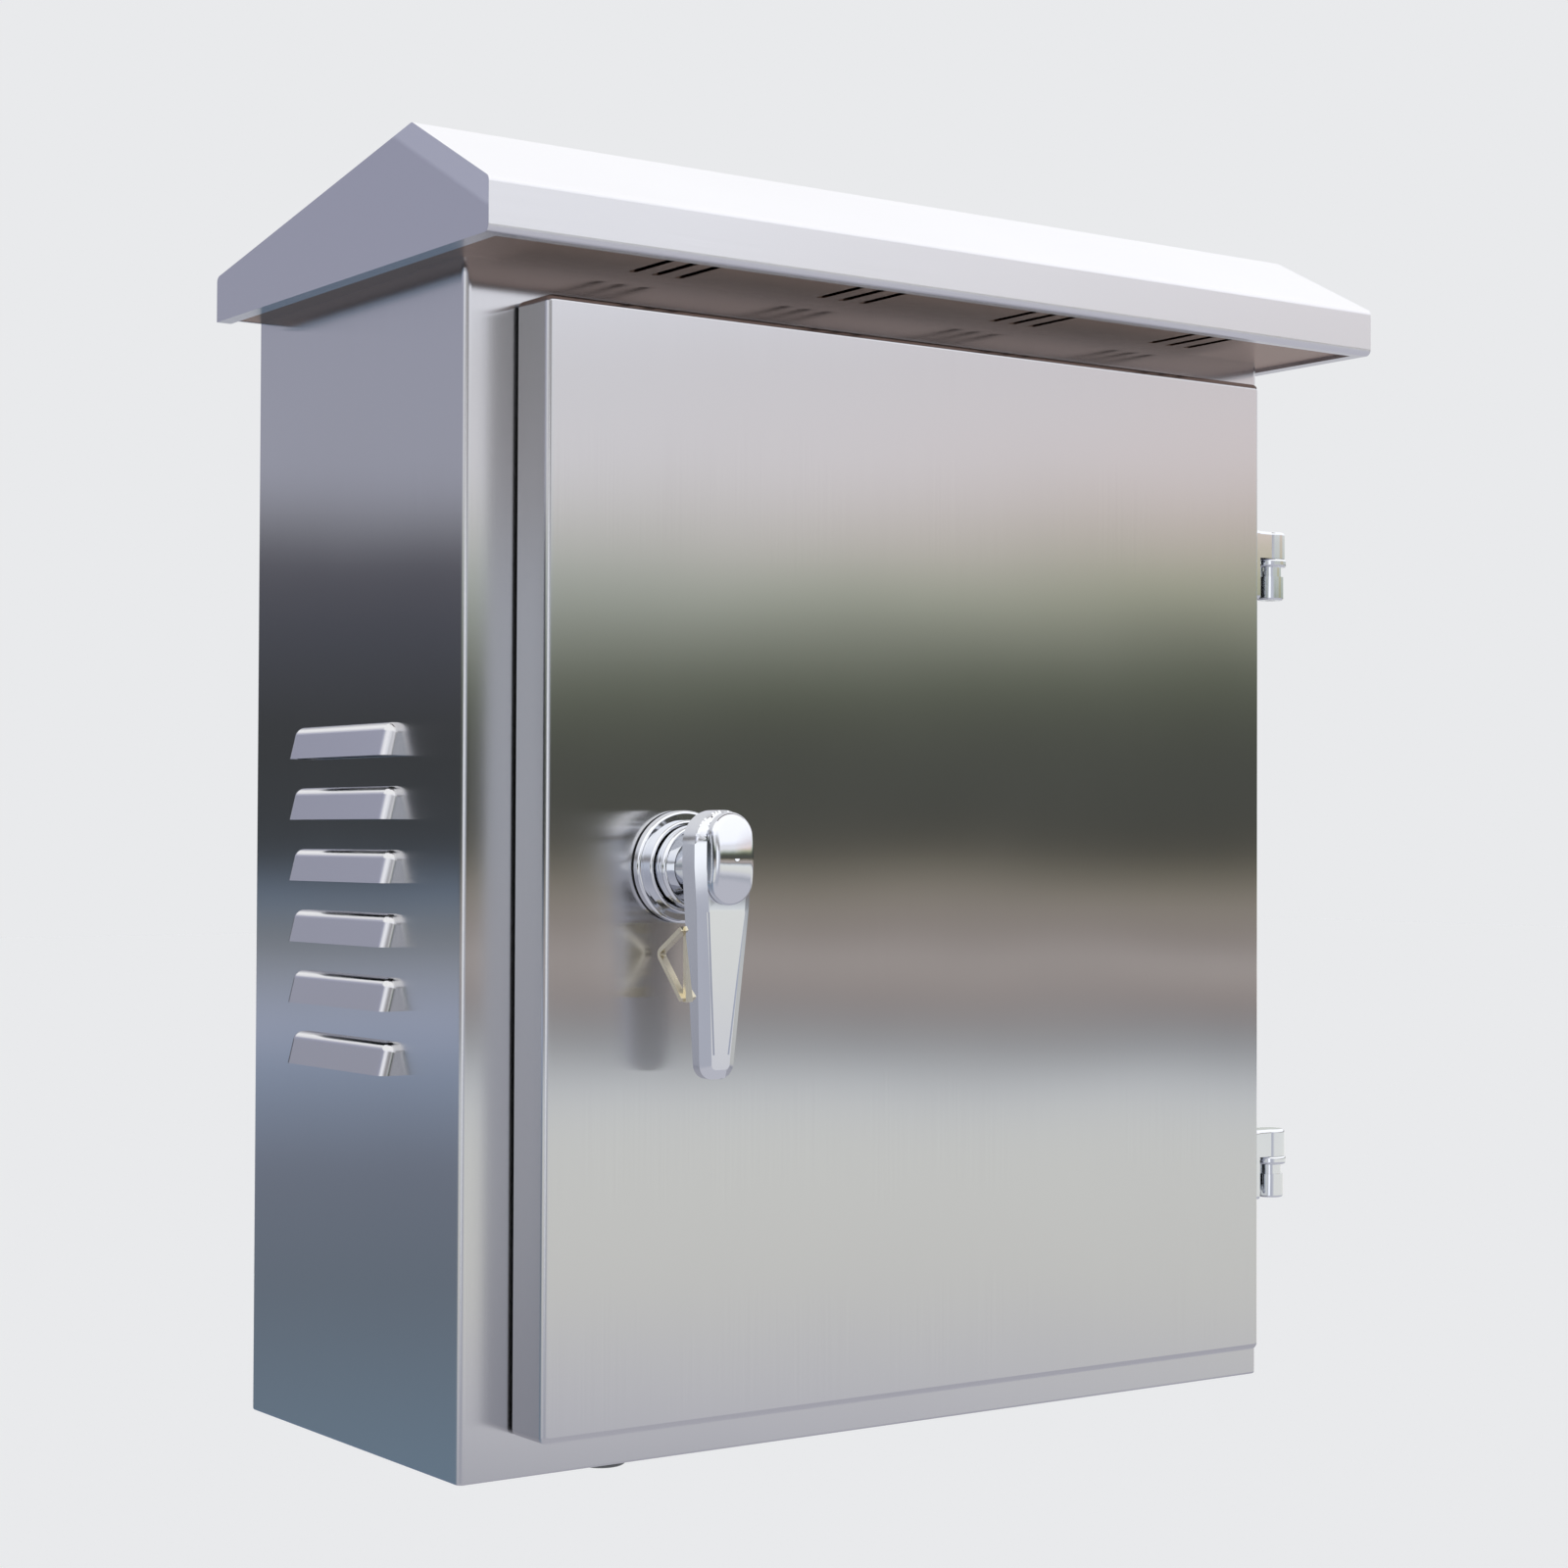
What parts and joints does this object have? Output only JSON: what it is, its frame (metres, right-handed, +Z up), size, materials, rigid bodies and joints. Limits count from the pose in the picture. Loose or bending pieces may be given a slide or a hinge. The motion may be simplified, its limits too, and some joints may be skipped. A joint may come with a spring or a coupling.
{
  "type": "pole-mounted utility cabinet",
  "caption": "Brushed stainless outdoor utility cabinet for a pole, with a pitched rain hood, side louvres, a hinged front door and a lever handle lock.",
  "frame": {"origin": "on the pole's axis, at the middle of the lower pole clamp", "axes": "+Z up along the pole; the door faces -Y; +X is to the right of someone facing the door"},
  "size_m": [0.49, 0.4773, 0.5774],
  "materials": {
    "brushed_stainless": "brushed",
    "galvanised_sheet": "satin",
    "zinc_plated_steel": "satin",
    "bright_chrome": "polished",
    "black_rubber": "matt",
    "grey_nylon": "satin",
    "plain_brass": "satin"
  },
  "bodies": {
    "cabinet": {"cabinet_body": "brushed_stainless", "hood_soffit": "brushed_stainless", "rain_hood": "brushed_stainless", "pole_rail_lower": "brushed_stainless", "pole_rail_upper": "brushed_stainless", "pole_hoop_lower": "brushed_stainless", "pole_hoop_upper": "brushed_stainless", "mounting_plate": "galvanised_sheet", "rail_bolts": "zinc_plated_steel", "rail_washers": "zinc_plated_steel", "rail_nuts": "zinc_plated_steel", "hoop_bolts": "zinc_plated_steel", "hoop_washers": "zinc_plated_steel", "hoop_nuts": "zinc_plated_steel", "plate_studs": "zinc_plated_steel", "plate_spacers": "zinc_plated_steel", "plate_washers": "zinc_plated_steel", "plate_nuts": "zinc_plated_steel", "earth_stud": "zinc_plated_steel", "earth_nuts": "zinc_plated_steel", "earth_washer": "zinc_plated_steel", "hinge_pin_lower": "zinc_plated_steel", "hinge_pin_upper": "zinc_plated_steel", "hinge_body_washers": "zinc_plated_steel", "hinge_body_nuts": "zinc_plated_steel", "hinge_body_leaf_lower": "bright_chrome", "hinge_body_leaf_upper": "bright_chrome", "hinge_collar_lower": "bright_chrome", "hinge_collar_upper": "bright_chrome", "cable_gland_washer": "black_rubber", "cable_gland_seal": "black_rubber", "cable_gland_body": "grey_nylon", "cable_gland_locknut": "grey_nylon", "cable_gland_cap": "grey_nylon"},
    "door": {"door_panel": "brushed_stainless", "door_gasket": "black_rubber", "door_stiffener_left": "brushed_stainless", "door_stiffener_right": "brushed_stainless", "door_earth_stud": "zinc_plated_steel", "door_earth_washer": "zinc_plated_steel", "door_earth_nut": "zinc_plated_steel", "hinge_door_leaf_lower": "bright_chrome", "hinge_door_leaf_upper": "bright_chrome", "hinge_door_washers": "zinc_plated_steel", "hinge_door_nuts": "zinc_plated_steel", "handle_rosette": "bright_chrome", "handle_gasket": "black_rubber", "handle_lock_washer": "zinc_plated_steel", "handle_locknut": "zinc_plated_steel"},
    "handle": {"handle_lever": "bright_chrome", "handle_spindle": "zinc_plated_steel", "lock_cam": "zinc_plated_steel", "cam_washer": "zinc_plated_steel", "cam_screw": "zinc_plated_steel", "padlock_lug": "plain_brass", "lug_rivets": "zinc_plated_steel", "cover_rivet": "zinc_plated_steel"},
    "key_cylinder": {"key_cylinder": "plain_brass"},
    "key_cover": {"key_cover": "bright_chrome"}
  },
  "joints": [
    {"name": "door_hinge", "type": "hinge", "parent": "cabinet", "child": "door", "pos_m": [0.216, -0.332, 0.16], "axis": [0, 0, 1], "range_deg": [0, 180]},
    {"name": "handle_turn", "type": "hinge", "parent": "door", "child": "handle", "pos_m": [-0.135, -0.341, 0.161], "axis": [0, -1, 0], "range_deg": [0, 90]},
    {"name": "key_turn", "type": "hinge", "parent": "handle", "child": "key_cylinder", "pos_m": [-0.135, -0.376, 0.161], "axis": [0, -1, 0], "range_deg": [0, 90]},
    {"name": "key_cover_swing", "type": "hinge", "parent": "handle", "child": "key_cover", "pos_m": [-0.135, -0.378, 0.177], "axis": [0, -1, 0], "range_deg": [0, 100]}
  ]
}
